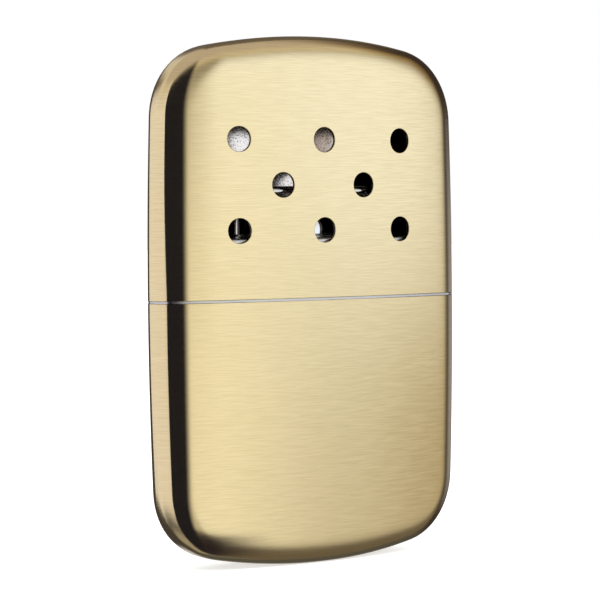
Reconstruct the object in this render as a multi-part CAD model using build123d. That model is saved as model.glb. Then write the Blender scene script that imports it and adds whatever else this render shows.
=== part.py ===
from build123d import *
import os
from functools import cache
from math import hypot, sqrt

# Catalytic hand warmer: a drawn metal tank packed with cotton, a burner that clips on its neck,
# and a vented lid that pushes down over the tank's collar. Millimetres. It stands on its foot:
# X runs across the broad faces, Y from the front face to the rear one, Z up from the foot.

# outer form
width = 67.0  # across the sides, at mid-height
height = 100.0  # foot to crown
depth = 14.3  # front face to rear face, on the centre line
rim_depth = 6.2  # what the two arched faces leave at the sides
side_radius = 890.0  # slight barrel of the sides
lid_end_radius = 114.5  # arched crown
lid_corner_radius = 14.3
case_end_radius = 110.5  # arched base
case_corner_radius = 13.7
edge_radius = 2.9  # rounding from the faces to the sides
edge_flat = 0.2  # least flat left on the side beyond that rounding
foot_press = 0.3  # how much of the arched base is pressed flat
seam_z = 50.1  # rim of the lower case

# sheet metal
shell_wall = 0.7
collar_wall = 0.5
flange_thick = 0.4  # the collar's flange, clamped between case and lid
flange_inset = 0.12  # how far it lies inside the outer surface
slide_gap = 0.3  # collar to lid, all round
collar_rise = 10.7  # above the flange
collar_drop = 8.0  # below the rim of the case
dimple_radius = 1.6  # ball that each grip dimple is pressed with
dimple_height = 0.24
dimple_x = 21.0
dimple_rise = 5.0

# vents, the same in both faces
vent_diameter = 4.66
vent_pitch_x = 9.0
vent_pitch_z = 8.5
vent_rise = 21.7  # rim of the case to the middle row
vent_rows = {1: (-2, 0, 2), 0: (-1, 1), -1: (-2, 0, 2)}

# tank top and filler neck
top_thick = 0.6
top_round = 0.45  # shoulder of the tank top
top_lip_depth = 1.5
top_lip_wall = 0.5
top_fit = 0.05  # lip to collar, and neck to its slot
neck_length = 27.6
neck_width = 6.4
neck_wall = 0.5
neck_rise = 3.9  # above its foot flange
neck_drop = 1.6  # below the tank top
neck_flange = 1.1
neck_flange_thick = 0.4

# fillings
soft_gap = 0.3  # cotton, felt and catalyst to the metal beside them
wad_layers = 2  # in the case, below the collar
wick_drop = 3.0  # how far the wick reaches below the tank top
wick_short = 0.4  # wick to the neck's mouth

# burner
clip_gap = 0.3  # skirt to neck
skirt_wall = 0.4
skirt_height = 4.4
housing_wall = 0.4
housing_fit = 0.05  # housing to skirt and floor
housing_lift = 0.3  # its lower edge above the foot flange
bead_reach = 0.45  # how far the rolled bead stands out
bead_radius = 0.95
lip_reach = 0.7
lip_thick = 0.5
floor_thick = 0.4
gauze_thick = 0.3
gauze_wire = 0.5
gauze_mesh = 1.5
pad_thick = 3.0
grille_thick = 0.5
grille_border = 1.0
grille_bar = 1.0
grille_bars = 5
floor_hole = 1.6
floor_pitch = 3.2
clip_dimple_radius = 1.2
clip_dimple_height = 0.2
clip_dimple_x = 8.0

# heights worked out from these
lid_z = seam_z + flange_thick
collar_z = lid_z + collar_rise
top_z = collar_z + top_thick
neck_foot_z = top_z + neck_flange_thick
neck_z = neck_foot_z + neck_rise
skirt_z = neck_foot_z + skirt_height
floor_z = skirt_z + floor_thick
lower_gauze_z = floor_z + gauze_thick
pad_z = lower_gauze_z + pad_thick
upper_gauze_z = pad_z + gauze_thick
grille_z = upper_gauze_z + grille_thick
burner_z = grille_z + lip_thick

# insets of the nested sheet-metal forms, from the outer surface
collar_inset = shell_wall + slide_gap
collar_bore = collar_inset + collar_wall
lip_inset = collar_bore + top_fit


def corner_centre(half_w, half_h, end_radius, corner_radius):
    # centre of the corner arc, tangent inside the side arc and inside the end arc
    side = (half_w - side_radius, 0.0)
    end = (0.0, half_h - end_radius)
    reach_side = side_radius - corner_radius
    reach_end = end_radius - corner_radius
    across = hypot(end[0] - side[0], end[1] - side[1])
    along = (reach_side**2 - reach_end**2 + across**2) / (2 * across)
    off = sqrt(reach_side**2 - along**2)
    ux = (end[0] - side[0]) / across
    uz = (end[1] - side[1]) / across
    return side[0] + along * ux - off * uz, side[1] + along * uz + off * ux


def on_arc(centre, toward, radius):
    # the point at this radius from centre, in the direction of toward
    dx = toward[0] - centre[0]
    dz = toward[1] - centre[1]
    length = hypot(dx, dz)
    return centre[0] + dx * radius / length, centre[1] + dz * radius / length


def outline_end(sign, inset, end_radius, corner_radius):
    # one end of the outline: side joint, middle of the corner, and end joint, on the +X side
    half_w = width / 2
    half_h = (height + foot_press) / 2
    centre = corner_centre(half_w, half_h, end_radius, corner_radius)
    side_joint = on_arc((half_w - side_radius, 0.0), centre, side_radius)
    end_joint = on_arc((0.0, half_h - end_radius), centre, end_radius)
    middle = ((side_joint[0] + end_joint[0]) / 2, (side_joint[1] + end_joint[1]) / 2)
    corner = on_arc(centre, middle, corner_radius)
    joints = []
    for point in (side_joint, corner, end_joint):
        toward = on_arc(point, centre, inset)
        joints.append((toward[0], sign * toward[1]))
    return joints


@cache
def outline(inset):
    # front outline, all tangent arcs, drawn in by inset on every side
    mid_z = (height - foot_press) / 2
    half_h = (height + foot_press) / 2 - inset
    half_w = width / 2 - inset
    top = outline_end(1, inset, lid_end_radius, lid_corner_radius)
    base = outline_end(-1, inset, case_end_radius, case_corner_radius)

    def arc(*points):
        return Edge.make_three_point_arc(*[Vector(x, 0, z + mid_z) for x, z in points])

    edges = []
    for side in (1, -1):
        upper = [(side * x, z) for x, z in top]
        lower = [(side * x, z) for x, z in base]
        edges.append(arc(lower[0], (side * half_w, 0), upper[0]))
        edges.append(arc(*upper))
        edges.append(arc(*lower))
    edges.append(arc(top[2], (0, half_h), (-top[2][0], top[2][1])))
    edges.append(arc(base[2], (0, -half_h), (-base[2][0], base[2][1])))
    return Face(Wire.combine(edges)[0])


@cache
def form(inset):
    # the whole warmer as one solid, drawn in by inset: the outline between two arched faces
    arch = (depth - rim_depth) / 2
    face_radius = ((width / 2) ** 2 + arch**2) / (2 * arch)
    axis_y = face_radius - depth / 2
    drum = Cylinder(face_radius - inset, 2 * height)
    lens = (Pos(0, axis_y, height / 2) * drum) & (Pos(0, -axis_y, height / 2) * drum)
    body = extrude(outline(inset), amount=depth, both=True) & lens
    rounding = min(edge_radius, rim_depth / 2 - edge_flat) - inset
    if rounding > 0:
        body = fillet(body.edges().filter_by(Axis.Y, reverse=True), rounding)
    return body & slab(inset, height)


def slab(low, high):
    # everything between two heights
    return Pos(0, 0, (low + high) / 2) * Box(2 * width, 2 * depth, high - low)


def slice_form(inset, low, high):
    return form(inset) & slab(low, high)


def sleeve(outer, inner, low, high):
    # the wall between two insets, from one height to another
    return slice_form(outer, low, high) - form(inner)


def face_y(x, inset):
    # distance of the arched face from the middle plane
    arch = (depth - rim_depth) / 2
    face_radius = ((width / 2) ** 2 + arch**2) / (2 * arch)
    return sqrt((face_radius - inset) ** 2 - x**2) - (face_radius - depth / 2)


def oblong(length, wide, low, high):
    # upright bar with round ends
    return Pos(0, 0, low) * extrude(SlotOverall(length, wide), amount=high - low)


def tube(length, wide, wall, low, high):
    # oblong tube, sized outside
    bore = oblong(length - 2 * wall, wide - 2 * wall, low, high)
    return oblong(length, wide, low, high) - bore


def make_lid_shell():
    shell = slice_form(0, lid_z, height) - form(shell_wall)
    middle_z = seam_z + vent_rise
    for row, columns in vent_rows.items():
        for column in columns:
            place = Pos(column * vent_pitch_x, 0, middle_z + row * vent_pitch_z)
            shell -= place * Rot(90, 0, 0) * Cylinder(vent_diameter / 2, 2 * depth)
    return shell


def make_lower_case():
    return sleeve(0, shell_wall, 0, seam_z)


def make_tank_collar():
    collar = sleeve(collar_inset, collar_bore, seam_z - collar_drop, collar_z)
    collar += sleeve(flange_inset, collar_bore, seam_z, lid_z)
    inside = face_y(dimple_x, collar_inset) + dimple_height - dimple_radius
    hollow = form(collar_bore)
    for x in (-dimple_x, dimple_x):
        for side in (-1, 1):
            ball = Pos(x, side * inside, lid_z + dimple_rise) * Sphere(dimple_radius)
            collar += ball - hollow
    return collar


def make_tank_top():
    plate = slice_form(collar_inset, collar_z, top_z)
    shoulder = plate.faces().sort_by(Axis.Z)[-1].edges()
    plate = fillet(shoulder, min(top_round, 0.9 * top_thick))
    plate += sleeve(lip_inset, lip_inset + top_lip_wall, collar_z - top_lip_depth, collar_z)
    slot_length = neck_length + 2 * top_fit
    slot_width = neck_width + 2 * top_fit
    return plate - oblong(slot_length, slot_width, collar_z - top_lip_depth, top_z)


def make_filler_neck():
    neck = tube(neck_length, neck_width, neck_wall, collar_z - neck_drop, neck_z)
    reach = 2 * neck_flange
    flange = tube(neck_length + reach, neck_width + reach, neck_flange + neck_wall, top_z, neck_foot_z)
    return neck + flange


def wick_foot_z():
    return collar_z - wick_drop


def make_cotton_case():
    # the wads in the case, folded one on another
    low = shell_wall + soft_gap
    high = seam_z - collar_drop - soft_gap
    layer = (high - low) / wad_layers
    inset = shell_wall + soft_gap
    return [slice_form(inset, low + i * layer, low + (i + 1) * layer) for i in range(wad_layers)]


def make_cotton_collar():
    # the last wad, pushed in between the walls of the collar
    low = seam_z - collar_drop - soft_gap
    return slice_form(collar_bore + soft_gap, low, wick_foot_z())


def make_wick():
    length = neck_length - 2 * (neck_wall + soft_gap)
    wide = neck_width - 2 * (neck_wall + soft_gap)
    return oblong(length, wide, wick_foot_z(), neck_z - wick_short)


skirt_length = neck_length + 2 * (clip_gap + skirt_wall)
skirt_width = neck_width + 2 * (clip_gap + skirt_wall)
housing_bore_length = skirt_length + 2 * housing_fit
housing_bore_width = skirt_width + 2 * housing_fit
housing_length = housing_bore_length + 2 * housing_wall
housing_width = housing_bore_width + 2 * housing_wall


def make_burner_skirt():
    skirt = tube(skirt_length, skirt_width, skirt_wall, neck_foot_z, skirt_z)
    inside = skirt_width / 2 - skirt_wall - clip_dimple_height + clip_dimple_radius
    solid = oblong(skirt_length, skirt_width, neck_foot_z, skirt_z)
    middle_z = (neck_foot_z + neck_z) / 2
    for x in (-clip_dimple_x, clip_dimple_x):
        for side in (-1, 1):
            ball = Pos(x, side * inside, middle_z) * Sphere(clip_dimple_radius)
            skirt += ball & solid
    return skirt


def make_burner_floor():
    # stamped plate with breather holes, on the rim of the skirt
    floor = oblong(skirt_length, skirt_width, skirt_z, floor_z)
    half = int((skirt_length / 2 - skirt_width / 2) // floor_pitch)
    for column in range(-half, half + 1):
        for row in (-0.5, 0.5):
            place = Pos(column * floor_pitch, row * floor_pitch, (skirt_z + floor_z) / 2)
            floor -= place * Cylinder(floor_hole / 2, 2 * floor_thick)
    return floor


def make_gauze(low, high):
    # woven wire sheet, cut to the housing and drawn as its openings
    gauze = oblong(skirt_length, skirt_width, low, high)
    hole = gauze_mesh - gauze_wire
    half_x = int((skirt_length / 2 - skirt_width / 2) // gauze_mesh)
    half_y = int((skirt_width / 2 - gauze_wire) // gauze_mesh)
    cutter = Box(hole, hole, 4 * gauze_thick)
    places = []
    for column in range(-half_x, half_x + 1):
        for row in range(-half_y, half_y + 1):
            places.append(Pos(column * gauze_mesh, row * gauze_mesh, (low + high) / 2))
    return gauze - [place * cutter for place in places]


def make_catalyst_pad():
    length = housing_bore_length - 2 * soft_gap
    wide = housing_bore_width - 2 * soft_gap
    return oblong(length, wide, lower_gauze_z, pad_z)


def make_burner_grille():
    # stamped guard: a border with bars across it
    guard = tube(skirt_length, skirt_width, grille_border, upper_gauze_z, grille_z)
    inner_length = skirt_length - 2 * grille_border
    inner_width = skirt_width - 2 * grille_border
    opening = oblong(inner_length, inner_width, upper_gauze_z, grille_z)
    step = inner_length / (grille_bars + 1)
    for i in range(grille_bars):
        x = (i - (grille_bars - 1) / 2) * step
        bar = Pos(x, 0, (upper_gauze_z + grille_z) / 2) * Box(grille_bar, skirt_width, grille_thick)
        guard += bar & opening
    return guard


def make_burner_housing():
    # polished shroud, its top edge rolled out into a bead and in over the guard
    low = neck_foot_z + housing_lift
    shroud = tube(housing_length, housing_width, housing_wall, low, burner_z)
    lip_wall = housing_wall + lip_reach
    shroud += tube(housing_length, housing_width, lip_wall, grille_z, burner_z)
    inward = 2 * (bead_radius - bead_reach)
    track = SlotOverall(housing_length - inward, housing_width - inward)
    path = (Pos(0, 0, burner_z - bead_radius) * track).wire()
    section = Plane(origin=path @ 0, z_dir=path % 0) * Circle(bead_radius)
    bead = sweep(section, path=path)
    inner = oblong(housing_bore_length, housing_bore_width, low, burner_z)
    return shroud + (bead - inner)


parts = {
    "lid_shell": make_lid_shell(),
    "lower_case": make_lower_case(),
    "tank_collar": make_tank_collar(),
    "tank_top": make_tank_top(),
    "filler_neck": make_filler_neck(),
    "collar_wad": make_cotton_collar(),
    "wick": make_wick(),
    "burner_skirt": make_burner_skirt(),
    "burner_floor": make_burner_floor(),
    "lower_gauze": make_gauze(floor_z, lower_gauze_z),
    "catalyst_pad": make_catalyst_pad(),
    "upper_gauze": make_gauze(pad_z, upper_gauze_z),
    "burner_grille": make_burner_grille(),
    "burner_housing": make_burner_housing(),
}
for number, wad in enumerate(make_cotton_case(), start=1):
    parts[f"cotton_wad_{number}"] = wad

os.makedirs("parts", exist_ok=True)
for node, shape in parts.items():
    export_step(shape, f"parts/{node}.step")
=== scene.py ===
from math import atan2, cos, pi, radians, sin, sqrt

import bmesh
import bpy
from mathutils import Matrix, Vector


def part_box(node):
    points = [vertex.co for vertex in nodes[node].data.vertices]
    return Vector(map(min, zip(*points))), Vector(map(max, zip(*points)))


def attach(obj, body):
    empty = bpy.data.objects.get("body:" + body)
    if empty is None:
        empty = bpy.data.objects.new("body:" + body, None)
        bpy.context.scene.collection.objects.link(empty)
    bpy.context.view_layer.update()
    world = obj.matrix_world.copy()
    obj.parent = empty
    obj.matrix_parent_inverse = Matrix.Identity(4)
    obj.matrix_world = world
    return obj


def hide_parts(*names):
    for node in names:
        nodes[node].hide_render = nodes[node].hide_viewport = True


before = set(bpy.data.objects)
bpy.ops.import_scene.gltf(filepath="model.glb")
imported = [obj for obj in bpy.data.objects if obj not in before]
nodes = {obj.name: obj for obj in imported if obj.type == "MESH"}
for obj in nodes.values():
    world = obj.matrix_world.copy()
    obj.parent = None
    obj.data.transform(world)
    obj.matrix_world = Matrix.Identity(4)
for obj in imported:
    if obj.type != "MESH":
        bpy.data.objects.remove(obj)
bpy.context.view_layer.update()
mm = 0.001


def nothingSelected():
    if bpy.context.object and bpy.context.object.mode != "OBJECT":
        bpy.ops.object.mode_set(mode="OBJECT")
    bpy.ops.object.select_all(action="DESELECT")


def onlyThis(piece):
    nothingSelected()
    piece.select_set(True)
    bpy.context.view_layer.objects.active = piece


def addModifier(piece, kind, **settings):
    # adds a modifier, sets it and applies it
    onlyThis(piece)
    bpy.ops.object.modifier_add(type=kind)
    modifier = piece.modifiers[-1]
    for name, value in settings.items():
        setattr(modifier, name, value)
    bpy.ops.object.modifier_apply(modifier=modifier.name)


def justMade(name):
    # the newest piece, under this name
    piece = bpy.context.object
    piece.name = name
    piece.data.name = name
    return piece


def copyOf(piece, name):
    # a copy with a mesh of its own
    onlyThis(piece)
    bpy.ops.object.duplicate()
    return justMade(name)


def editMesh(piece):
    # opens the mesh with all of it selected
    onlyThis(piece)
    bpy.ops.object.mode_set(mode="EDIT")
    bpy.ops.mesh.select_mode(type="VERT")
    bpy.ops.mesh.select_all(action="SELECT")
    return bmesh.from_edit_mesh(piece.data)


def leaveEdit():
    bpy.ops.object.mode_set(mode="OBJECT")


def faceOutwards(piece, near=0):
    # merges points that are nearer than this, and turns the faces outwards
    editMesh(piece)
    if near:
        bpy.ops.mesh.remove_doubles(threshold=near)
    bpy.ops.mesh.normals_make_consistent(inside=False)
    leaveEdit()


def smooth(piece, angle=35):
    onlyThis(piece)
    bpy.ops.object.shade_smooth_by_angle(angle=radians(angle))


def wear(piece, *materials):
    # puts these finishes in the piece's material slots, in order
    piece.data.materials.clear()
    for material in materials:
        piece.data.materials.append(material)


def standFor(piece, node, body, slot, *materials):
    # the piece takes a node's place, body and finish
    if materials:
        wear(piece, *materials)
    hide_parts(node)
    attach(piece, body)


def newMaterial(name):
    material = bpy.data.materials.new(name)
    material.use_nodes = True
    material.node_tree.nodes.clear()
    return material


def add(tree, kind, **settings):
    # adds a node: a setting named like an input goes on that socket, or is linked if it is a socket
    node = tree.nodes.new(kind)
    inputs = {key[3:]: value for key, value in settings.items() if key.startswith("in_")}
    for key, value in settings.items():
        if not key.startswith("in_"):
            setattr(node, key, value)
    for key, value in inputs.items():
        socket = node.inputs[int(key)] if key.isdigit() else node.inputs[key.replace("_", " ")]
        if isinstance(value, bpy.types.NodeSocket):
            tree.links.new(value, socket)
        else:
            socket.default_value = value
    return node


def calculate(tree, operation, first, second=0.0, third=0.0):
    node = add(tree, "ShaderNodeMath", operation=operation, in_0=first, in_1=second, in_2=third)
    return node.outputs[0]


def remap(tree, value, low, high, toLow=0.0, toHigh=1.0, kind="SMOOTHSTEP"):
    node = add(
        tree,
        "ShaderNodeMapRange",
        interpolation_type=kind,
        in_Value=value,
        in_From_Min=low,
        in_From_Max=high,
        in_To_Min=toLow,
        in_To_Max=toHigh,
    )
    return node.outputs["Result"]


def noise(tree, place, sizes, detail=2.0, roughness=0.5):
    # noise whose features have these sizes along X, Y and Z
    mapped = add(tree, "ShaderNodeMapping", in_Vector=place, in_Scale=[1 / size for size in sizes])
    made = add(
        tree,
        "ShaderNodeTexNoise",
        in_Vector=mapped.outputs[0],
        in_Scale=1.0,
        in_Detail=detail,
        in_Roughness=roughness,
    )
    return made.outputs["Fac"]


def mixColour(tree, share, first, second):
    node = add(tree, "ShaderNodeMix", data_type="RGBA", in_0=share, in_6=first, in_7=second)
    return node.outputs[2]


def mixValue(tree, share, first, second):
    node = add(tree, "ShaderNodeMix", data_type="FLOAT", in_0=share, in_2=first, in_3=second)
    return node.outputs[0]


def product(tree, values):
    # the values multiplied with each other
    whole = values[0]
    for value in values[1:]:
        whole = calculate(tree, "MULTIPLY", whole, value)
    return whole


def splitXYZ(tree, vector):
    return add(tree, "ShaderNodeSeparateXYZ", in_Vector=vector).outputs


def objectPlace(tree):
    return add(tree, "ShaderNodeTexCoord").outputs["Object"]


def surfaceNormal(tree):
    return add(tree, "ShaderNodeNewGeometry").outputs["Normal"]


def bumpOf(tree, height, depth, strength=1.0):
    node = add(tree, "ShaderNodeBump", in_Strength=strength, in_Distance=depth, in_Height=height)
    return node.outputs[0]


def finishWith(material, kind, **settings):
    # the shader that the material's nodes end in
    shader = add(material.node_tree, kind, **settings)
    add(material.node_tree, "ShaderNodeOutputMaterial", in_Surface=shader.outputs[0])
    return material


white = (1, 1, 1, 1)
noiseSpan = (0.3, 0.7)  # where most of a noise's values lie

goldFinish = {
    "colour": (0.945, 0.80, 0.495, 1),
    "grainDark": (0.865, 0.725, 0.435, 1),
    "grainShade": (0.36, 0.64),  # the grain's values that are darkest and palest
    "grainLength": 4 * mm,
    "grainWidth": 0.11 * mm,
    "broadLength": 1.6,  # the broad lines are this much longer and wider than the fine ones
    "broadWidth": 2.5,
    "broadShare": 0.2,
    "bump": 0.0009 * mm,
    "faceRoughness": 0.135,
    "rimRoughness": 0.13,
    "rimFacing": (0.8, 0.97),  # how squarely it faces front or rear, from the rim to the faces
    "roughnessSpread": 0.014,
    "anisotropy": 1.0,
    "crownFacing": (0.55, 0.85),  # how squarely it faces up or down, from the sides to the crown
    "leastRise": 0.15,  # keeps a direction for the brush lines where the metal faces up
    "lacquer": 0.25,
    "lacquerRoughness": 0.06,
}


def brushedGold():
    # lacquered brass look, brushed along level lines that run round the rim and over the crown
    material = newMaterial("brushed_gold")
    tree = material.node_tree
    place = objectPlace(tree)
    facing = splitXYZ(tree, surfaceNormal(tree))
    steep = calculate(tree, "ABSOLUTE", facing["Y"])
    upward = calculate(tree, "ABSOLUTE", facing["Z"])

    # across the brush lines: up the faces and the sides, and from front to rear over the crown
    side = calculate(tree, "SIGN", facing["Y"])
    lean = product(tree, [side, facing["Z"], -1.0])
    rise = calculate(tree, "ADD", steep, goldFinish["leastRise"])
    across = add(tree, "ShaderNodeCombineXYZ", in_X=0.0, in_Y=lean, in_Z=rise).outputs[0]
    overCrown = remap(tree, upward, *goldFinish["crownFacing"])

    def lines(length, width):
        level = noise(tree, place, (length, length, width))
        crown = noise(tree, place, (length, width, length))
        return mixValue(tree, overCrown, level, crown)

    length, width = goldFinish["grainLength"], goldFinish["grainWidth"]
    fine = lines(length, width)
    broad = lines(length * goldFinish["broadLength"], width * goldFinish["broadWidth"])
    grain = mixValue(tree, goldFinish["broadShare"], fine, broad)
    shade = remap(tree, grain, *goldFinish["grainShade"])

    # the rim is polished more than the faces
    ends = (goldFinish["rimRoughness"], goldFinish["faceRoughness"])
    polish = remap(tree, steep, *goldFinish["rimFacing"], *ends)
    spread = goldFinish["roughnessSpread"]
    uneven = remap(tree, broad, *noiseSpan, -spread, spread)
    return finishWith(
        material,
        "ShaderNodeBsdfPrincipled",
        in_Base_Color=mixColour(tree, shade, goldFinish["grainDark"], goldFinish["colour"]),
        in_Metallic=1.0,
        in_Roughness=calculate(tree, "ADD", polish, uneven),
        in_Anisotropic=goldFinish["anisotropy"],
        in_Tangent=across,
        in_Normal=bumpOf(tree, fine, goldFinish["bump"]),
        in_Coat_Weight=goldFinish["lacquer"],
        in_Coat_Roughness=goldFinish["lacquerRoughness"],
    )


insideFinish = {
    "pale": (0.82, 0.76, 0.70, 1),
    "dark": (0.24, 0.22, 0.20, 1),
    "shade": (0.37, 0.50),  # the pattern's values that are darkest and palest
    "speck": 0.3 * mm,
    "patch": 9,  # the patches' size, in specks
    "patchShare": 0.3,
    # a near-black painted shade, for the unlit sides of the inner wall and the vents' cut edges
    "paintedShade": (0.05, 0.045, 0.04, 1),
    "paintedShadeFrom": 14.5 * mm,  # out from the middle, where the painted shade begins and where it is whole
    "paintedShadeWhole": 18.5 * mm,
    "ventsLow": 56 * mm,  # between these heights the cut edges of the vents get a dark painted shade
    "ventsHigh": 88 * mm,
    "ventsFade": 1 * mm,
    "cutFacing": (0.75, 0.35),  # how squarely it faces front or rear, from the wall to a cut edge
    "bump": 0.012 * mm,
    "bumpStrength": 0.5,
    "roughness": 0.12,
}


def insideMetal():
    # the unpolished inner wall, speckled by the drawing and plating, with painted shade towards the
    # sides and on the vents' cut edges
    material = newMaterial("inside_metal")
    tree = material.node_tree
    place = objectPlace(tree)
    speck = insideFinish["speck"]
    specks = noise(tree, place, (speck,) * 3, detail=3, roughness=0.6)
    patches = noise(tree, place, (insideFinish["patch"] * speck,) * 3)
    pattern = mixValue(tree, insideFinish["patchShare"], specks, patches)
    shade = remap(tree, pattern, *insideFinish["shade"])
    clean = mixColour(tree, shade, insideFinish["dark"], insideFinish["pale"])

    # painted shade: the inner wall darkens to near black towards the sides, where it lies in shade
    spot = splitXYZ(tree, place)
    outward = calculate(tree, "ABSOLUTE", spot["X"])
    paintedSideShade = remap(tree, outward, insideFinish["paintedShadeFrom"], insideFinish["paintedShadeWhole"])
    # painted shade on the vents' cut edges, which face into the dark inside
    facing = splitXYZ(tree, surfaceNormal(tree))
    cutEdge = remap(tree, calculate(tree, "ABSOLUTE", facing["Y"]), *insideFinish["cutFacing"])
    low, high, fade = (insideFinish[key] for key in ("ventsLow", "ventsHigh", "ventsFade"))
    above = remap(tree, spot["Z"], low, low + fade)
    below = remap(tree, spot["Z"], high, high - fade)
    paintedEdgeShade = product(tree, [cutEdge, above, below])
    paintedShadeShare = calculate(tree, "MAXIMUM", paintedSideShade, paintedEdgeShade)
    return finishWith(
        material,
        "ShaderNodeBsdfPrincipled",
        in_Base_Color=mixColour(tree, paintedShadeShare, clean, insideFinish["paintedShade"]),
        in_Metallic=1.0,
        in_Roughness=insideFinish["roughness"],
        in_Normal=bumpOf(tree, specks, insideFinish["bump"], insideFinish["bumpStrength"]),
    )


stains = {
    # on all of the plain metals
    "size": 6 * mm,
    "share": 0.5,
    "shade": (0.35, 0.65),  # the pattern's values that are darkest and palest
    "polish": (0.8, 1.25),  # least and most roughness, times the finish's own
}

metalFinishes = {
    "plated_satin": {
        "colour": (0.74, 0.74, 0.75, 1),
        "stained": 0.86,  # how bright the stains are, times the colour
        "roughness": 0.26,
        "grain": (8 * mm, 8 * mm, 0.15 * mm),
        "bump": 0.002 * mm,
    },
    "polished_steel": {
        "colour": (0.78, 0.78, 0.79, 1),
        "stained": 0.95,
        "roughness": 0.06,
        "grain": (1 * mm,) * 3,
        "bump": 0.0005 * mm,
    },
    "burner_steel": {
        "colour": (0.60, 0.57, 0.54, 1),
        "stained": 0.86,
        "roughness": 0.30,
        "grain": (0.3 * mm,) * 3,
        "bump": 0.004 * mm,
    },
    "gauze_wire": {
        "colour": (0.62, 0.58, 0.52, 1),
        "stained": 0.7,
        "roughness": 0.34,
        "grain": (0.6 * mm,) * 3,
        "bump": 0.002 * mm,
    },
}


def metal(name):
    # plain metal with a fine grain, slight stains and an uneven polish
    finish = metalFinishes[name]
    material = newMaterial(name)
    tree = material.node_tree
    place = objectPlace(tree)
    fine = noise(tree, place, finish["grain"], detail=3)
    broad = noise(tree, place, (stains["size"],) * 3)
    shade = remap(tree, mixValue(tree, stains["share"], fine, broad), *stains["shade"])
    stained = tuple(finish["stained"] * channel for channel in finish["colour"][:3]) + (1,)
    polish = [finish["roughness"] * times for times in stains["polish"]]
    return finishWith(
        material,
        "ShaderNodeBsdfPrincipled",
        in_Base_Color=mixColour(tree, shade, stained, finish["colour"]),
        in_Metallic=1.0,
        in_Roughness=remap(tree, broad, *noiseSpan, *polish),
        in_Normal=bumpOf(tree, fine, finish["bump"]),
    )


matting = {
    # in all of the fibre fills
    "strandLength": 14,  # in widths of a strand
    "clump": 1.6 * mm,
    "clumpShare": 0.45,
    "shade": (0.42, 0.66),  # the pattern's values that are darkest and palest
    "bumpStrength": 0.8,
    "roughness": 0.9,
    "sheenRoughness": 0.5,
}

fibreFinishes = {
    "white_cotton": {
        "pale": (0.86, 0.85, 0.82, 1),
        "dark": (0.66, 0.65, 0.62, 1),
        "strand": 0.06 * mm,
        "bump": 0.05 * mm,
        "sheen": 0.3,
    },
    "wick_felt": {
        "pale": (0.78, 0.75, 0.68, 1),
        "dark": (0.52, 0.49, 0.43, 1),
        "strand": 0.05 * mm,
        "bump": 0.05 * mm,
        "sheen": 0.25,
    },
    "catalyst_felt": {
        "pale": (0.64, 0.63, 0.61, 1),
        "dark": (0.34, 0.33, 0.32, 1),
        "strand": 0.04 * mm,
        "bump": 0.04 * mm,
        "sheen": 0.1,
    },
}


def fibre(name):
    # matted fibres: strands in three directions, with thin and thick places
    finish = fibreFinishes[name]
    material = newMaterial(name)
    tree = material.node_tree
    place = objectPlace(tree)
    width = finish["strand"]
    length = matting["strandLength"] * width
    first = noise(tree, place, (length, width, width))
    second = noise(tree, place, (width, length, width))
    third = noise(tree, place, (length, width, length))
    matted = calculate(tree, "MAXIMUM", calculate(tree, "MAXIMUM", first, second), third)
    clumps = noise(tree, place, (matting["clump"],) * 3, detail=3)
    pattern = mixValue(tree, matting["clumpShare"], matted, clumps)
    shade = remap(tree, pattern, *matting["shade"])
    return finishWith(
        material,
        "ShaderNodeBsdfPrincipled",
        in_Base_Color=mixColour(tree, shade, finish["dark"], finish["pale"]),
        in_Roughness=matting["roughness"],
        in_Sheen_Weight=finish["sheen"],
        in_Sheen_Roughness=matting["sheenRoughness"],
        in_Normal=bumpOf(tree, matted, finish["bump"], matting["bumpStrength"]),
    )


gold = brushedGold()
inside = insideMetal()
plated = metal("plated_satin")
polished = metal("polished_steel")
burnerMetal = metal("burner_steel")
gauzeWire = metal("gauze_wire")
cotton = fibre("white_cotton")
felt = fibre("wick_felt")
glassFelt = fibre("catalyst_felt")
print("finishes")

lidLow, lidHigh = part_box("lid_shell")
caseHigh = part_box("lower_case")[1]

pressing = {
    "halfWidth": caseHigh.x,
    "halfDepth": caseHigh.y,
    "top": lidHigh.z,
    "lidFoot": lidLow.z,
    "caseTop": caseHigh.z,
    "footPress": 0.3 * mm,
    "sideRadius": 890 * mm,
    "lidEndRadius": 114.5 * mm,
    "lidCornerRadius": 14.3 * mm,
    "caseEndRadius": 110.5 * mm,
    "caseCornerRadius": 13.7 * mm,
    "rimDepth": 6.2 * mm,
    "roundOver": 7 * mm,  # how far in from the outline the rounding reaches
    "fullness": 4,  # 2 would be a plain ellipse, more is fuller
    "blankCells": (33, -93, 26),  # the blank's side, low and high edge, from the vents' middle
    "bridgeSteps": 7,
    "roundSteps": 28,
    "wall": 0.7 * mm,
    "rimBevel": 0.12 * mm,
    "sharpAngle": 50,  # an edge that turns more than this, in degrees, is bevelled
}

vents = {
    "radius": 2.33 * mm,
    "pitchX": 9 * mm,
    "pitchZ": 8.5 * mm,
    "middleZ": 71.8 * mm,
    "places": [(-2, 1), (0, 1), (2, 1), (-1, 0), (1, 0), (-2, -1), (0, -1), (2, -1)],
    "cellsPerPitch": 13,
    "cellsCleared": 6,  # on each side of a vent's centre, before it is drawn in to the round
    "drawSteps": 5,
}

weld = 0.002 * mm  # points closer than this are one
halfHeight = (pressing["top"] + pressing["footPress"]) / 2
middleZ = (pressing["top"] - pressing["footPress"]) / 2
arch = pressing["halfDepth"] - pressing["rimDepth"] / 2
faceRadius = (pressing["halfWidth"] ** 2 + arch**2) / (2 * arch)
cellX = vents["pitchX"] / vents["cellsPerPitch"]
cellZ = vents["pitchZ"] / vents["cellsPerPitch"]


def halfThickness(x):
    # from the middle plane to the arched face
    return pressing["halfDepth"] - faceRadius + sqrt(faceRadius**2 - x * x)


def onFace(x, z):
    # a place on the arched front face
    return Vector((x, -halfThickness(x), z))


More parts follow.
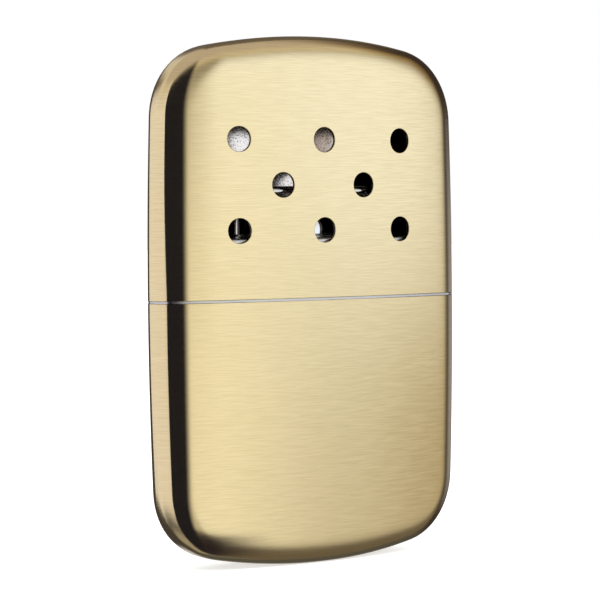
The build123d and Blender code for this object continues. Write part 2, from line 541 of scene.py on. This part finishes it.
def quarterArcs(endRadius, cornerRadius):
    # (centre, radius, first angle, last angle) of the side, corner and end arcs, each tangent to
    # the next
    side = Vector((pressing["halfWidth"] - pressing["sideRadius"], 0))
    end = Vector((0, halfHeight - endRadius))
    reachSide = pressing["sideRadius"] - cornerRadius
    reachEnd = endRadius - cornerRadius
    across = (end - side).length
    along = (reachSide**2 - reachEnd**2 + across**2) / (2 * across)
    off = sqrt(reachSide**2 - along**2)
    line = (end - side) / across
    corner = side + along * line + off * Vector((-line.y, line.x))
    turnSide = atan2(corner.y - side.y, corner.x - side.x)
    turnEnd = atan2(corner.y - end.y, corner.x - end.x)
    return [
        (side, pressing["sideRadius"], 0, turnSide),
        (corner, cornerRadius, turnSide, turnEnd),
        (end, endRadius, turnEnd, pi / 2),
    ]


def rayAt(arcs, length, signX, signZ):
    # the outline's centre, radius and direction, this far from the side's middle along the
    # drawn-in outline
    for centre, radius, first, last in arcs:
        span = (radius - pressing["roundOver"]) * (last - first)
        if length <= span or last == pi / 2:
            angle = first + length / (radius - pressing["roundOver"])
            turned = Vector((signX * cos(angle), signZ * sin(angle)))
            return Vector((signX * centre.x, middleZ + signZ * centre.y)), radius, turned
        length -= span


def reach(arcs):
    # drawn-in lengths: the whole quarter, and from the side's middle to the corner's middle
    spans = [(radius - pressing["roundOver"]) * (last - first) for _, radius, first, last in arcs]
    return sum(spans), spans[0] + spans[1] / 2


def outlineRays(rimCells):
    # one ray of the outline for each cell corner on the blank's edge
    lidArcs = quarterArcs(pressing["lidEndRadius"], pressing["lidCornerRadius"])
    caseArcs = quarterArcs(pressing["caseEndRadius"], pressing["caseCornerRadius"])
    lidCorner, caseCorner = reach(lidArcs)[1], reach(caseArcs)[1]
    wide, low, high = pressing["blankCells"]
    rays = []
    for column, row in rimCells:
        if abs(column) == wide:
            share = (row - low) / (high - low)
            along = share * (lidCorner + caseCorner) - caseCorner
            arcs = lidArcs if along >= 0 else caseArcs
            rays.append(rayAt(arcs, abs(along), column / wide, 1 if along >= 0 else -1))
        else:
            arcs = lidArcs if row == high else caseArcs
            whole, corner = reach(arcs)
            along = whole - abs(column) / wide * (whole - corner)
            rays.append(rayAt(arcs, along, 1 if column >= 0 else -1, 1 if row == high else -1))
    return rays


def cellOf(place):
    # column and row, counted in cells from the vents' middle
    return place.x / cellX, (place.z - vents["middleZ"]) / cellZ


def cellsFromVent(column, row, vent):
    return column - vent[0] * vents["cellsPerPitch"], row - vent[1] * vents["cellsPerPitch"]


def ventEdge(vent, offX, offZ):
    # the place on a vent's round edge that a place on its cleared square is drawn in to
    if abs(offX) == vents["cellsCleared"]:
        angle = pi / 4 * offZ / offX + (pi if offX < 0 else 0)
    else:
        angle = pi / 2 - pi / 4 * offX / offZ + (pi if offZ < 0 else 0)
    centre = Vector((vent[0] * vents["pitchX"], vents["middleZ"] + vent[1] * vents["pitchZ"]))
    return centre + vents["radius"] * Vector((cos(angle), sin(angle)))


def onRay(ray, inset):
    centre, radius, turned = ray
    return centre + (radius - inset) * turned


def makeGrid():
    # the flat sheet, in cells that fit the vents' pitch
    wide, low, high = pressing["blankCells"]
    nothingSelected()
    bpy.ops.mesh.primitive_grid_add(
        x_subdivisions=2 * wide,
        y_subdivisions=high - low,
        size=1,
        location=(0, 0, vents["middleZ"] + (low + high) / 2 * cellZ),
        rotation=(pi / 2, 0, 0),
    )
    grid = justMade("blank")
    grid.scale = (2 * wide * cellX, (high - low) * cellZ, 1)
    bpy.ops.object.transform_apply()
    return grid


def clearVents(blank):
    # takes out the cells round each vent
    mesh = editMesh(blank)
    bpy.ops.mesh.select_mode(type="FACE")
    bpy.ops.mesh.select_all(action="DESELECT")
    for face in mesh.faces:
        column, row = cellOf(face.calc_center_median())
        for vent in vents["places"]:
            offX, offZ = cellsFromVent(column, row, vent)
            if max(abs(offX), abs(offZ)) < vents["cellsCleared"]:
                face.select_set(True)
    bpy.ops.mesh.delete(type="FACE")


def numberEdges(blank):
    # arches the sheet, and numbers every place on its open edges. Gives by number where the place
    # is, where a vent's place goes, and the ray that a rim's place follows
    mesh = bmesh.from_edit_mesh(blank.data)
    seat = mesh.verts.layers.int.new("seat")
    wide, low, high = pressing["blankCells"]
    starts, ventEnds, rimCells = {}, {}, {}
    for vertex in mesh.verts:
        column, row = (round(count) for count in cellOf(vertex.co))
        vertex.co = onFace(vertex.co.x, vertex.co.z)
        number = 0
        for vent in vents["places"]:
            offX, offZ = cellsFromVent(column, row, vent)
            if max(abs(offX), abs(offZ)) == vents["cellsCleared"]:
                number = len(starts) + 1
                ventEnds[number] = ventEdge(vent, offX, offZ)
        if abs(column) == wide or row in (low, high):
            number = len(starts) + 1
            rimCells[number] = (column, row)
        if number:
            starts[number] = Vector((vertex.co.x, vertex.co.z))
            vertex[seat] = number
    bmesh.update_edit_mesh(blank.data)
    return starts, ventEnds, dict(zip(rimCells, outlineRays(rimCells.values())))


def pickOpen(blank, numbers):
    # selects the open edges between places with these numbers
    bpy.ops.mesh.select_mode(type="EDGE")
    bpy.ops.mesh.select_all(action="DESELECT")
    mesh = bmesh.from_edit_mesh(blank.data)
    layer = mesh.verts.layers.int["seat"]
    for edge in mesh.edges:
        if edge.is_boundary and all(vertex[layer] in numbers for vertex in edge.verts):
            edge.select_set(True)
    mesh.select_flush_mode()
    bmesh.update_edit_mesh(blank.data)


def extrudeTo(blank, place):
    # one more ring: each new vertex goes where place says for its number
    bpy.ops.mesh.extrude_edges_indiv()
    mesh = bmesh.from_edit_mesh(blank.data)
    layer = mesh.verts.layers.int["seat"]
    for vertex in mesh.verts:
        if vertex.select:
            vertex.co = place(vertex[layer])
    bmesh.update_edit_mesh(blank.data)


def drawAlongFace(blank, starts, ends, steps):
    # rings from the open edge's places to these ends, on the arched face
    pickOpen(blank, ends)
    for step in range(1, steps + 1):
        extrudeTo(blank, lambda number: onFace(*starts[number].lerp(ends[number], step / steps)))


def roundRim(blank, rays):
    # rings round the rim, from the arched face to the middle plane
    power, steps = pressing["fullness"], pressing["roundSteps"]
    for step in range(1, steps + 1):
        turn = pi / 2 * (1 - step / steps)
        size = (cos(turn) ** power + sin(turn) ** power) ** (-1 / power)
        inset = pressing["roundOver"] * (1 - size * cos(turn))
        share = size * sin(turn) if step < steps else 0

        def rimPlace(number):
            spot = onRay(rays[number], inset)
            return Vector((spot.x, -halfThickness(spot.x) * share, spot.y))

        extrudeTo(blank, rimPlace)


def makeBlank():
    # both shells in one sheet: a grid, drawn in to the vents and out round the rim, and mirrored
    blank = makeGrid()
    clearVents(blank)
    starts, ventEnds, rays = numberEdges(blank)
    drawAlongFace(blank, starts, ventEnds, vents["drawSteps"])
    flatEnds = {number: onRay(ray, pressing["roundOver"]) for number, ray in rays.items()}
    drawAlongFace(blank, starts, flatEnds, pressing["bridgeSteps"])
    roundRim(blank, rays)
    leaveEdit()
    addModifier(blank, "MIRROR", use_axis=(False, True, False), merge_threshold=weld)
    faceOutwards(blank)
    return blank


def cutAt(piece, height, keepAbove):
    editMesh(piece)
    bpy.ops.mesh.bisect(
        plane_co=(0, 0, height),
        plane_no=(0, 0, 1),
        clear_inner=keepAbove,
        clear_outer=not keepAbove,
    )
    leaveEdit()


def makeShell(blank, name, height, keepAbove):
    # one shell out of the blank: cut at the seam, pressed flat at the foot, given its wall and
    # soft rims
    shell = copyOf(blank, name)
    cutAt(shell, height, keepAbove)
    for vertex in shell.data.vertices:
        vertex.co.z = max(vertex.co.z, 0)
    addModifier(
        shell,
        "SOLIDIFY",
        thickness=pressing["wall"],
        offset=-1,
        use_even_offset=False,
        material_offset=1,
        material_offset_rim=1,
    )
    smooth(shell)
    addModifier(
        shell,
        "BEVEL",
        width=pressing["rimBevel"],
        segments=3,
        limit_method="ANGLE",
        angle_limit=radians(pressing["sharpAngle"]),
        harden_normals=True,
    )
    return shell


blank = makeBlank()
wear(blank, gold, inside)
lidShell = makeShell(blank, "lid_pressing", pressing["lidFoot"], True)
lowerCase = makeShell(blank, "case_pressing", pressing["caseTop"], False)
bpy.data.objects.remove(blank)
standFor(lidShell, "lid_shell", "lid", "gold_shell")
standFor(lowerCase, "lower_case", "tank", "gold_shell")
print("shells", len(lidShell.data.polygons), len(lowerCase.data.polygons))


def arc(middle, radius, first, last, steps):
    # points of a profile's arc, as (distance from the axis, height)
    turns = [radians(first + (last - first) * step / steps) for step in range(steps + 1)]
    return [(middle[0] + radius * cos(turn), middle[1] + radius * sin(turn)) for turn in turns]


# the neck and the burner's pieces are given in mm, as are the profiles that they are drawn from
oblong = {
    "halfStraight": 10.6,  # all of them have the same straight sides
    "sides": 96,
    "weld": 0.004,
}


def oblongCircle(name, radius, height, **settings):
    # the circle that an oblong piece starts as, with no point on the line where it is parted
    nothingSelected()
    bpy.ops.mesh.primitive_circle_add(
        vertices=oblong["sides"],
        radius=radius * mm,
        location=(0, 0, height * mm),
        rotation=(0, 0, pi / oblong["sides"]),
        **settings,
    )
    piece = justMade(name)
    bpy.ops.object.transform_apply()
    editMesh(piece)
    return piece


def partInTheMiddle(piece):
    for vertex in piece.data.vertices:
        vertex.co.x += (1 if vertex.co.x > 0 else -1) * oblong["halfStraight"] * mm


def drawnOblong(name, profile):
    # a closed profile drawn ring by ring round an axis, then parted in the middle to an oblong
    piece = oblongCircle(name, *profile[0])
    for (radius, height), (nextRadius, nextHeight) in zip(profile, profile[1:] + profile[:1]):
        rise = (0, 0, (nextHeight - height) * mm)
        bpy.ops.mesh.extrude_edges_move(TRANSFORM_OT_translate={"value": rise})
        bpy.ops.transform.resize(
            value=(nextRadius / radius, nextRadius / radius, 1),
            center_override=(0, 0, nextHeight * mm),
        )
    leaveEdit()
    partInTheMiddle(piece)
    faceOutwards(piece, oblong["weld"] * mm)
    smooth(piece)
    return piece


def solidOblong(name, radius, low, high):
    # an upright bar with round ends
    bar = oblongCircle(name, radius, low, fill_type="NGON")
    bpy.ops.mesh.extrude_region_move(TRANSFORM_OT_translate={"value": (0, 0, (high - low) * mm)})
    leaveEdit()
    faceOutwards(bar)
    partInTheMiddle(bar)
    return bar


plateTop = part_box("tank_top")[1].z / mm
neckLow, neckHigh = (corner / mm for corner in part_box("filler_neck"))
burnerLow, burnerHigh = (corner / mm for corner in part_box("burner_housing"))
grilleLow, grilleHigh = (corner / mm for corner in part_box("burner_grille"))

neck = {
    "radius": 3.2,
    "wall": 0.5,
    "flangeReach": 1.1,
    "flangeThick": 0.4,
    "fillet": 0.25,
    "edge": 0.1,
}


def makeNeck():
    # the tube that carries the burner, with a flange on the tank's top and a rounded lip
    outer, inner = neck["radius"], neck["radius"] - neck["wall"]
    flange = outer + neck["flangeReach"]
    flangeTop = plateTop + neck["flangeThick"]
    edge, fillet, lip = neck["edge"], neck["fillet"], neck["wall"] / 2
    profile = [(inner + edge, neckLow.z), (outer - edge, neckLow.z), (outer, neckLow.z + edge)]
    profile += [(outer, plateTop - edge / 2), (outer + edge / 2, plateTop)]
    profile += [(flange - edge, plateTop)]
    profile += arc((flange - edge, plateTop + edge), edge, -60, 0, 2)
    profile += arc((flange - edge, flangeTop - edge), edge, 0, 90, 3)
    profile += arc((outer + fillet, flangeTop + fillet), fillet, 270, 180, 5)
    profile += arc((outer - lip, neckHigh.z - lip), lip, 0, 180, 10)
    profile += [(inner, neckLow.z + edge)]
    return drawnOblong("drawn_neck", profile)


housing = {
    "wallRadius": 4.35,
    "wall": 0.4,
    "beadRadius": 0.95,
    "flareFrom": 1.15,  # below the bead's middle, where the wall begins to lean out to the bead
    "flare": 0.03,
    "lipReach": 0.7,
    "lipThick": 0.5,
    "edge": 0.1,
}


def makeHousing():
    # the shroud round the burner, rolled out at its top to a bead and in over the guard
    outer, inner = housing["wallRadius"], housing["wallRadius"] - housing["wall"]
    bead, edge = housing["beadRadius"], housing["edge"]
    beadMiddle = (burnerHigh.y - bead, burnerHigh.z - bead)
    lip = inner - housing["lipReach"]
    lipLow = burnerHigh.z - housing["lipThick"]
    profile = [(inner + edge, burnerLow.z), (outer - edge, burnerLow.z)]
    profile += [(outer, burnerLow.z + edge), (outer, beadMiddle[1] - housing["flareFrom"])]
    profile += [(outer + housing["flare"], beadMiddle[1] - bead)]
    profile += arc(beadMiddle, bead, -50, 90, 16)
    profile += arc((lip + edge, burnerHigh.z - edge), edge, 90, 180, 3)
    profile += arc((lip + edge, lipLow + edge), edge, 180, 270, 3)
    profile += [(inner, lipLow), (inner, burnerLow.z + edge)]
    return drawnOblong("rolled_shroud", profile)


guard = {
    "radius": 3.9,
    "border": 1.0,
    "bars": 5,
    "barWide": 1.0,
    "barTongue": 0.4,  # how far the bars' ends reach into the border
    "edge": 0.12,
}


def makeGuard():
    # stamped border with bars across it
    low, high, edge = grilleLow.z, grilleHigh.z, guard["edge"]
    outer, inner = guard["radius"], guard["radius"] - guard["border"]
    profile = arc((outer - edge, low + edge), edge, -90, 0, 3)
    profile += arc((outer - edge, high - edge), edge, 0, 90, 3)
    profile += arc((inner + edge, high - edge), edge, 90, 180, 3)
    profile += arc((inner + edge, low + edge), edge, 180, 270, 3)
    border = drawnOblong("stamped_guard", profile)
    step = 2 * (oblong["halfStraight"] + inner) / (guard["bars"] + 1)
    firstBar = -(guard["bars"] - 1) / 2 * step
    barLength = 2 * (inner + guard["barTongue"])
    nothingSelected()
    bpy.ops.mesh.primitive_cube_add(size=1, location=(firstBar * mm, 0, (low + high) / 2 * mm))
    bar = bpy.context.object
    bar.scale = (guard["barWide"] * mm, barLength * mm, (high - low) * mm)
    bpy.ops.object.transform_apply()
    addModifier(bar, "BEVEL", width=edge * mm, segments=3, limit_method="ANGLE")
    addModifier(
        bar,
        "ARRAY",
        count=guard["bars"],
        use_relative_offset=False,
        use_constant_offset=True,
        constant_offset_displace=(step * mm, 0, 0),
    )
    addModifier(border, "BOOLEAN", operation="UNION", object=bar, solver="EXACT", use_self=True)
    bpy.data.objects.remove(bar)
    smooth(border)
    return border


gauze = {
    "wire": 0.13,
    "pitch": 0.6,
    "sides": 6,
    "waveSteps": 4,  # from one crossing to the next
    "radius": 3.9,
    "cutIn": 0.03,  # how far inside its outline the weave is cut off
    "overCut": 1,  # how far the cutter stands out above and below
}


def makeWire(name, start, along, crossings, phase):
    # a wire that goes over and under the wires of the other set
    nothingSelected()
    bpy.ops.mesh.primitive_circle_add(
        vertices=gauze["sides"],
        radius=gauze["wire"] / 2 * mm,
        fill_type="NGON",
        location=start * mm,
        rotation=(0, pi / 2, 0) if along.x else (pi / 2, 0, 0),
    )
    wire = justMade(name)
    bpy.ops.object.transform_apply()
    editMesh(wire)
    steps = gauze["waveSteps"]
    waves = [sin(pi / steps * step) for step in range(steps * crossings + 1)]
    heights = [phase * gauze["wire"] / 2 * wave for wave in waves]
    for before, after in zip(heights, heights[1:]):
        move = along * gauze["pitch"] / steps + Vector((0, 0, after - before))
        bpy.ops.mesh.extrude_region_move(TRANSFORM_OT_translate={"value": move * mm})
    leaveEdit()
    faceOutwards(wire)
    return wire


def makeGauze(name, node):
    # woven wire, cut to the burner's oblong
    low, high = (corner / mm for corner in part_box(node))
    middle = Vector((0, 0, (low.z + high.z) / 2))
    pitch, radius = gauze["pitch"], gauze["radius"]
    crossings = {
        "X": int(2 * (oblong["halfStraight"] + radius) / pitch),
        "Y": int(2 * radius / pitch),
    }
    wires = []
    for run, other, along, phases in (
        ("X", "Y", Vector((1, 0, 0)), (1, -1)),
        ("Y", "X", Vector((0, 1, 0)), (-1, 1)),
    ):
        sideways = Vector((along.y, along.x, 0)) * pitch
        corner = -crossings[run] / 2 * pitch * along - (crossings[other] - 1) / 2 * sideways
        for order, phase in enumerate(phases):
            start = corner + order * sideways + middle
            wire = makeWire(f"{name}_{run}{order}", start, along, crossings[run], phase)
            addModifier(
                wire,
                "ARRAY",
                count=(crossings[other] + 1 - order) // 2,
                use_relative_offset=False,
                use_constant_offset=True,
                constant_offset_displace=2 * sideways * mm,
            )
            wires.append(wire)
    onlyThis(wires[0])
    for wire in wires:
        wire.select_set(True)
    bpy.ops.object.join()
    woven = justMade(name)
    ends = (low.z - gauze["overCut"], high.z + gauze["overCut"])
    cutter = solidOblong("gauze_cutter", radius - gauze["cutIn"], *ends)
    addModifier(woven, "BOOLEAN", operation="INTERSECT", object=cutter, solver="EXACT")
    bpy.data.objects.remove(cutter)
    smooth(woven, angle=50)
    return woven


standFor(makeNeck(), "filler_neck", "tank", "plated_steel", plated)
standFor(makeHousing(), "burner_housing", "burner", "polished_steel", polished)
standFor(makeGuard(), "burner_grille", "burner", "burner_steel", burnerMetal)
for gauzeNode, gauzeName in {
    "lower_gauze": "woven_gauze_low",
    "upper_gauze": "woven_gauze_top",
}.items():
    standFor(makeGauze(gauzeName, gauzeNode), gauzeNode, "burner", "wire_gauze", gauzeWire)
print("neck, burner shroud, guard and gauzes")

packedCotton = {
    "body": "tank",
    "slot": "cotton",
    "finish": cotton,
    "fill": 0.9,
    "voxel": 1.1 * mm,  # the mesh's fineness
    "shrink": 0.7 * mm,  # how far its block is drawn in before it swells
    "puff": 0.7 * mm,  # how far the cloth may swell
    "tufts": 0.45 * mm,  # how deep the uneven surface is, and how wide its tufts are
    "tuftSize": 5 * mm,
}

soft = {
    "cotton_fill_1": {"node": "cotton_wad_1", **packedCotton},
    "cotton_fill_2": {"node": "cotton_wad_2", **packedCotton},
    "collar_fill": {"node": "collar_wad", **packedCotton},
    "felt_wick": {
        "node": "wick",
        "body": "tank",
        "slot": "wick_felt",
        "finish": felt,
        "fill": 1.0,
        "voxel": 0.35 * mm,
        "shrink": 0.3 * mm,
        "puff": 0.3 * mm,
        "tufts": 0.16 * mm,
        "tuftSize": 1.3 * mm,
    },
    "catalyst_mat": {
        "node": "catalyst_pad",
        "body": "burner",
        "slot": "catalyst",
        "finish": glassFelt,
        "fill": 0.9,
        "voxel": 0.35 * mm,
        "shrink": 0.3 * mm,
        "puff": 0.3 * mm,
        "tufts": 0.12 * mm,
        "tuftSize": 1.1 * mm,
    },
}

swelling = {
    "scale": 10,  # the cloth is swelled at ten times its size, where its settings work
    "pressure": 4,
    "frames": 20,
}


def softCore(name, settings):
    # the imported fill's block, drawn in from its neighbours and given an even mesh
    core = copyOf(nodes[settings["node"]], name)
    editMesh(core)
    bpy.ops.mesh.remove_doubles(threshold=weld)
    bpy.ops.mesh.dissolve_limited(angle_limit=radians(1))
    leaveEdit()
    low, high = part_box(settings["node"])
    middle = (low + high) / 2
    half = (high - low) / 2
    for vertex in core.data.vertices:
        away = vertex.co - middle
        for axis in range(3):
            away[axis] *= (half[axis] - settings["shrink"]) / half[axis]
        vertex.co = middle + away
    addModifier(
        core,
        "REMESH",
        mode="VOXEL",
        voxel_size=settings["voxel"],
        use_smooth_shade=True,
    )
    return core


def swell(piece, settings):
    # a pressed-in cloth skin that fills out, held back from its neighbours
    starts = [vertex.co.copy() for vertex in piece.data.vertices]
    for vertex in piece.data.vertices:
        vertex.co *= swelling["scale"]
    onlyThis(piece)
    bpy.ops.object.modifier_add(type="CLOTH")
    cloth = piece.modifiers[-1]
    cloth.settings.use_pressure = True
    cloth.settings.uniform_pressure_force = swelling["pressure"]
    cloth.settings.effector_weights.gravity = 0
    scene = bpy.context.scene
    for frameNumber in range(1, swelling["frames"] + 1):
        scene.frame_set(frameNumber)
    bpy.ops.object.modifier_apply(modifier=cloth.name)
    scene.frame_set(1)
    for vertex, start in zip(piece.data.vertices, starts):
        move = vertex.co / swelling["scale"] - start
        if move.length > settings["puff"]:
            move *= settings["puff"] / move.length
        vertex.co = start + move


def makeSoft(name, settings):
    piece = softCore(name, settings)
    swell(piece, settings)
    addModifier(piece, "SUBSURF", levels=1, render_levels=1)
    tufts = bpy.data.textures.new(name, type="CLOUDS")
    tufts.noise_scale = settings["tuftSize"]
    tufts.noise_depth = 3
    addModifier(
        piece,
        "DISPLACE",
        texture=tufts,
        texture_coords="LOCAL",
        strength=settings["tufts"],
        mid_level=0.75,  # more of it goes in than out
    )
    bpy.data.textures.remove(tufts)
    smooth(piece, angle=60)
    return piece


for softName, settings in soft.items():
    piece = makeSoft(softName, settings)
    standFor(piece, settings["node"], settings["body"], settings["slot"], settings["finish"])
    print("soft", softName, len(piece.data.polygons))

# the nodes that keep their own meshes
for node, material in {
    "tank_collar": plated,
    "tank_top": plated,
    "burner_skirt": burnerMetal,
    "burner_floor": burnerMetal,
}.items():
    nodes[node].material_slots[0].material = material

# what the metal reflects: panels laid over each other in this order. Left and right are directions
# in degrees (0 is -X, 90 the front, 180 +X), bottom and top are angles above or below the level;
# each is a soft edge from the first angle, where the panel begins, to the second
studio = {
    "dark": (0.09, 0.09, 0.09),
    "plain": 0.75,  # what matt surfaces and the floor receive
    "panels": {
        "ground": {
            "tint": (0.34, 0.31, 0.27),
            "left": (-84, -70),
            "right": (172, 160),
            "top": (-38, -58),
        },
        "ceiling": {"tint": (0.73, 0.64, 0.45), "bottom": (8, 37)},
        "overhead": {"tint": (0.51, 0.45, 0.41), "bottom": (24, 45)},
        "surround": {
            "tint": (0.61, 0.57, 0.49),
            "left": (-165, -130),
            "right": (179, 157),
            "bottom": (-30, -16),
            "top": (24, -8),
        },
        "leftWindow": {
            "tint": (0.83, 0.79, 0.8),
            "left": (-144, -124),
            "right": (82, 44),
            "bottom": (-44, -9),
            "top": (46, 9),
        },
        "frontWindow": {
            "tint": (1.16, 1.23, 1.33),
            "left": (96, 103),
            "right": (169, 141),
            "bottom": (-4, -1),
            "top": (31, 0),
        },
        "lowLeft": {
            "tint": (0.98, 0.96, 0.86),
            "left": (92, 97),
            "right": (130, 97),
            "bottom": (-20, -16),
            "top": (4, 1),
        },
        "lowShade": {
            "tint": (0.27, 0.17, 0.02),
            "left": (125, 148),
            "bottom": (-18, 1),
            "top": (-2, -5),
        },
        "upperFlag": {
            "tint": (0.24, 0.16, 0.07),
            "left": (134, 159),
            "right": (228, 222),
            "bottom": (4, 8),
            "top": (74, 34),
        },
        "rearFlag": {
            "tint": (0.13, 0.11, 0.09),
            "left": (200, 212),
            "right": (264, 250),
            "bottom": (5, 13),
            "top": (86, 70),
        },
        "rightFlag": {
            "tint": (0.04, 0.03, 0.03),
            "left": (154, 169),
            "right": (223, 211),
            "bottom": (-44, -22),
            "top": (74, 35),
        },
        "rightBounce": {
            "tint": (0.34, 0.34, 0.41),
            "left": (161, 180),
            "right": (218, 200),
            "bottom": (-22, -2),
            "top": (3, 0),
        },
    },
}


def makeWorld():
    # reflections see the panels, matt surfaces an even level, and the camera plain white
    world = bpy.data.worlds.new("studio")
    bpy.context.scene.world = world
    world.use_nodes = True
    tree = world.node_tree
    tree.nodes.clear()
    direction = splitXYZ(tree, add(tree, "ShaderNodeTexCoord").outputs["Generated"])
    backward = calculate(tree, "MULTIPLY", direction["Y"], -1.0)
    leftward = calculate(tree, "MULTIPLY", direction["X"], -1.0)
    around = calculate(tree, "DEGREES", calculate(tree, "ARCTAN2", backward, leftward))
    height = calculate(tree, "DEGREES", calculate(tree, "ARCSINE", direction["Z"]))
    fromRight = calculate(tree, "WRAP", around, 180.0, -180.0)
    fromLeft = calculate(tree, "WRAP", around, 360.0, 0.0)
    colour = (*studio["dark"], 1)
    for panel in studio["panels"].values():
        # a panel that lies across +X is measured in angles that go on past 180
        acrossRight = "right" in panel and panel["right"][0] > 180
        sideways = fromLeft if acrossRight else fromRight
        measured = {"left": sideways, "right": sideways, "bottom": height, "top": height}
        edges = [remap(tree, measured[key], *panel[key]) for key in measured if key in panel]
        colour = mixColour(tree, product(tree, edges), colour, (*panel["tint"], 1))
    path = add(tree, "ShaderNodeLightPath")
    plain = (studio["plain"],) * 3 + (1,)
    seen = mixColour(tree, path.outputs["Is Glossy Ray"], plain, colour)
    seen = mixColour(tree, path.outputs["Is Camera Ray"], seen, white)
    background = add(tree, "ShaderNodeBackground", in_Color=seen, in_Strength=1.0)
    add(tree, "ShaderNodeOutputWorld", in_Surface=background.outputs[0])


makeWorld()

# dark cards that only reflections see, close beside the rims so that they darken the rims alone,
# in mm; an edge with a fade is clear up to the first place and whole from the second
cards = {
    "front_card": {
        "tint": (0.014, 0.013, 0.019, 1),
        "corners": [(-38.7, -60), (-20, -60), (-20, 130), (-49, 130), (-44, 76), (-38.7, 51)],
        "depth": -15,
        "fadeRight": (-26.7, -29.0),
        "fadeTop": (107.6, 98.5),
    },
    "floor_card": {
        "tint": (0.145, 0.121, 0.094, 1),
        "corners": [(-40, -90), (80, -90), (80, 8), (-40, 8)],
        "depth": -15.2,
        "fadeTop": (3.6, -3.8),
    },
    "low_card": {
        "tint": (0.024, 0.018, 0.025, 1),
        "corners": [(-40, -90), (-2, -90), (-2, 5), (-40, 5)],
        "depth": -15.1,
        "fadeRight": (-5.7, -24.2),
        "fadeTop": (6.5, 5.1),
    },
    "rear_card": {
        "tint": (0.06, 0.052, 0.047, 1),
        "corners": [(-43, -60), (-16, -60), (-16, 104), (-37, 104), (-39, 90), (-40.5, 70)],
        "depth": 18,
        "fadeRight": (-20, -25),
        "fadeTop": (104, 98),
    },
    "right_card": {
        "tint": (0.036, 0.03, 0.028, 1),
        "corners": [(28, -90), (90, -90), (90, 4), (28, 4)],
        "depth": -15.3,
        "fadeLeft": (30, 46),
        "fadeTop": (4, -10),
    },
}


def makeCard(name, settings):
    material = newMaterial(name)
    tree = material.node_tree
    place = splitXYZ(tree, objectPlace(tree))
    fades = []
    for edge, axis in {"fadeLeft": "X", "fadeRight": "X", "fadeTop": "Z"}.items():
        if edge in settings:
            first, second = settings[edge]
            fades.append(remap(tree, place[axis], first * mm, second * mm))
    clear = add(tree, "ShaderNodeBsdfTransparent").outputs[0]
    glow = add(tree, "ShaderNodeEmission", in_Color=settings["tint"], in_Strength=1.0).outputs[0]
    share = product(tree, fades)
    finishWith(material, "ShaderNodeMixShader", in_0=share, in_1=clear, in_2=glow)
    nothingSelected()
    bpy.ops.mesh.primitive_circle_add(vertices=len(settings["corners"]), fill_type="NGON")
    card = justMade(name)
    for vertex, (x, z) in zip(card.data.vertices, settings["corners"]):
        vertex.co = Vector((x, settings["depth"], z)) * mm
    wear(card, material)
    card.visible_camera = False
    card.visible_diffuse = False
    card.visible_shadow = False
    card.visible_transmission = False


for cardName, cardSettings in cards.items():
    makeCard(cardName, cardSettings)

floorSettings = {
    "size": 6.0,
    "height": -0.02 * mm,
    "colour": (0.9, 0.9, 0.9, 1),
    "glow": 0.62,  # brings the open floor up to white for the camera: only the shadow shows
}


def makeFloor():
    material = newMaterial("pale_floor")
    tree = material.node_tree
    matt = add(tree, "ShaderNodeBsdfDiffuse", in_Color=floorSettings["colour"]).outputs[0]
    path = add(tree, "ShaderNodeLightPath")
    strength = calculate(tree, "MULTIPLY", path.outputs["Is Camera Ray"], floorSettings["glow"])
    glow = add(tree, "ShaderNodeEmission", in_Color=white, in_Strength=strength).outputs[0]
    finishWith(material, "ShaderNodeAddShader", in_0=matt, in_1=glow)
    nothingSelected()
    bpy.ops.mesh.primitive_plane_add(
        size=floorSettings["size"],
        location=(0, 0, floorSettings["height"]),
    )
    floor = justMade("studio_floor")
    wear(floor, material)
    floor.visible_glossy = False


makeFloor()

lampAim = Vector((0, 0, 0.05))
lampSettings = {
    "key": {"place": (-0.35, -0.45, 0.75), "size": 0.5, "power": 5.0},
    "fill": {"place": (0.6, -0.5, 0.5), "size": 0.6, "power": 2.5},
}
for lampName, lamp in lampSettings.items():
    nothingSelected()
    bpy.ops.object.light_add(type="AREA", location=lamp["place"])
    light = bpy.context.object
    light.name = lampName
    light.data.size = lamp["size"]
    light.data.energy = lamp["power"]
    toAim = lampAim - Vector(lamp["place"])
    light.rotation_euler = toAim.to_track_quat("-Z", "Y").to_euler()
    light.visible_glossy = False

cameraSettings = {
    "yaw": 32.31,
    "pitch": 2.33,
    "roll": -0.49,
    "distance": 422.9 * mm,
    "aim": Vector((-1.29, 0, 0.03)) * mm,  # from the middle of the object
    "lens": 132.3,
    "sensor": 36,
    "nearest": 0.01,
}


def makeCamera():
    yaw, pitch, roll = (radians(cameraSettings[key]) for key in ("yaw", "pitch", "roll"))
    middle = Vector((0, 0, middleZ))
    back = Vector((-sin(yaw) * cos(pitch), -cos(yaw) * cos(pitch), sin(pitch)))
    place = middle + back * cameraSettings["distance"]
    forward = (middle + cameraSettings["aim"] - place).normalized()
    right = forward.cross(Vector((0, 0, 1))).normalized()
    up = right.cross(forward)
    tiltedRight = right * cos(roll) + up * sin(roll)
    tiltedUp = up * cos(roll) - right * sin(roll)
    bpy.ops.object.camera_add()
    camera = bpy.context.object
    camera.data.lens = cameraSettings["lens"]
    camera.data.sensor_width = cameraSettings["sensor"]
    camera.data.clip_start = cameraSettings["nearest"]
    turned = Matrix((tiltedRight, tiltedUp, -forward)).transposed().to_4x4()
    camera.matrix_world = Matrix.Translation(place) @ turned
    bpy.context.scene.camera = camera


nothingSelected()
makeCamera()
bpy.context.scene.view_settings.view_transform = "Standard"
print("stage and camera in place")
